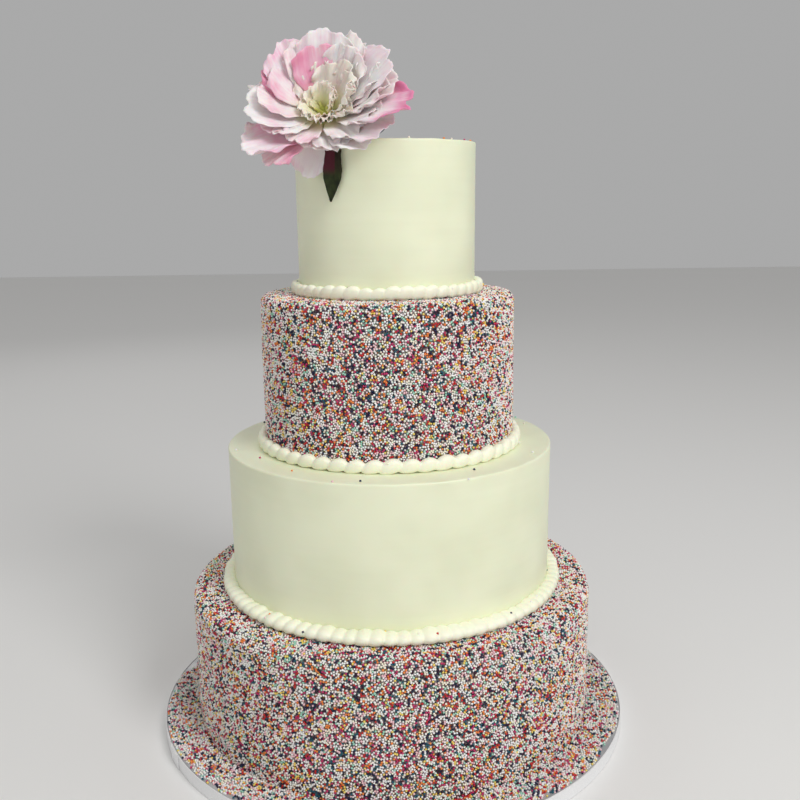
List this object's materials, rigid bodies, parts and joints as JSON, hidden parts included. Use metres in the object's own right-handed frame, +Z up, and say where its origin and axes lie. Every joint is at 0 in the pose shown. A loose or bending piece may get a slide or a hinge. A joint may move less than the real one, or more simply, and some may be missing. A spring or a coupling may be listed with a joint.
{
  "type": "tiered wedding cake",
  "caption": "Round tiered wedding cake on a drum board: smooth ivory buttercream tiers alternate with tiers coated in nonpareils, piped bead borders, silk peony on top.",
  "frame": {"origin": "centre of the board's underside, on the surface that the cake stands on", "axes": "+Z up through the tiers; -Y is the front, the side that the silk peony leans over"},
  "size_m": [0.4594, 0.4594, 0.6439],
  "materials": {
    "buttercream": "smooth ivory buttercream, soft satin",
    "piped_buttercream": "piped ivory buttercream, soft satin",
    "nonpareil_coat": "dense coat of mixed-colour sugar nonpareils",
    "board_foil": "silvery embossed foil paper under scattered nonpareils",
    "ribbon": "white satin ribbon",
    "petal_silk": "blush and white artificial petals, matt",
    "leaf": "dark green artificial leaf, matt"
  },
  "bodies": {
    "root": {"board_drum": "board_foil", "board_ribbon": "ribbon", "bottom_tier": "nonpareil_coat", "lower_tier": "buttercream", "upper_tier": "nonpareil_coat", "top_tier": "buttercream", "lower_border": "piped_buttercream", "upper_border": "piped_buttercream", "top_border": "piped_buttercream", "peony_calyx": "leaf", "leaf_front": "leaf", "leaf_back": "leaf", "peony_heart": "petal_silk", "petal_top": "petal_silk", "petal_upper_right": "petal_silk", "petal_right": "petal_silk", "petal_lower_right": "petal_silk", "petal_bottom": "petal_silk", "petal_lower_left": "petal_silk", "petal_left": "petal_silk", "petal_upper_left": "petal_silk", "petal_back_left": "petal_silk", "petal_back_right": "petal_silk", "petal_hanging": "petal_silk"}
  },
  "joints": []
}
